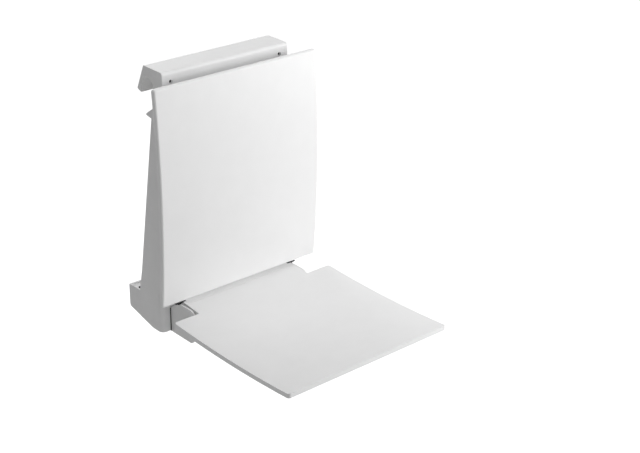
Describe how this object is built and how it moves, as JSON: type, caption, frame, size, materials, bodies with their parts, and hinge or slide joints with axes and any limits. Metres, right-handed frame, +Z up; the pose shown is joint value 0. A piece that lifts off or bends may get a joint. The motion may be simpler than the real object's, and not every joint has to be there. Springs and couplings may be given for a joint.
{
  "type": "hook-in shower seat",
  "caption": "Hook-in shower seat: a hooked hood hangs it on a grab rail, feet lean on the wall, and the seat panel folds up against the curved backrest.",
  "frame": {"origin": "middle of the grab rail's axis inside the hook", "axes": "+X across the width, along the rail; -Y towards the user; +Z up"},
  "size_m": [0.354, 0.489, 0.4906],
  "materials": {
    "panel_white": "satin moulded white",
    "frame_white": "satin moulded white",
    "beam_white": "white powder coat",
    "carrier_alu": "fine blasted casting",
    "liner_grey": "soft grey",
    "pad_grey": "soft grey",
    "buffer_black": "soft black",
    "bush_nylon": "natural",
    "pin_steel": "ground",
    "clip_steel": "dark",
    "screw_steel": "bright",
    "insert_brass": "turned"
  },
  "bodies": {
    "frame": {"backrest_panel": "panel_white", "backrest_inserts": "insert_brass", "backrest_screws": "screw_steel", "hook_hood": "frame_white", "rail_liner": "liner_grey", "lock_screws": "screw_steel", "hood_screws": "screw_steel", "top_beam": "beam_white", "mid_beam": "beam_white", "lower_beam": "beam_white", "beam_screws": "screw_steel", "side_left": "frame_white", "side_right": "frame_white", "wall_pad_left": "pad_grey", "wall_pad_right": "pad_grey", "pad_screws": "screw_steel", "hinge_bracket": "beam_white", "bracket_screws": "screw_steel", "hinge_pin_left": "pin_steel", "hinge_pin_right": "pin_steel", "pin_circlips": "clip_steel", "stop_buffers": "buffer_black"},
    "seat": {"seat_panel": "panel_white", "seat_inserts": "insert_brass", "seat_carrier": "carrier_alu", "seat_screws": "screw_steel", "bush_left": "bush_nylon", "bush_right": "bush_nylon"}
  },
  "joints": [
    {"name": "seat_fold", "type": "hinge", "parent": "frame", "child": "seat", "pos_m": [0, -0.097, -0.403], "axis": [-1, 0, 0], "range_deg": [0, 90]}
  ]
}
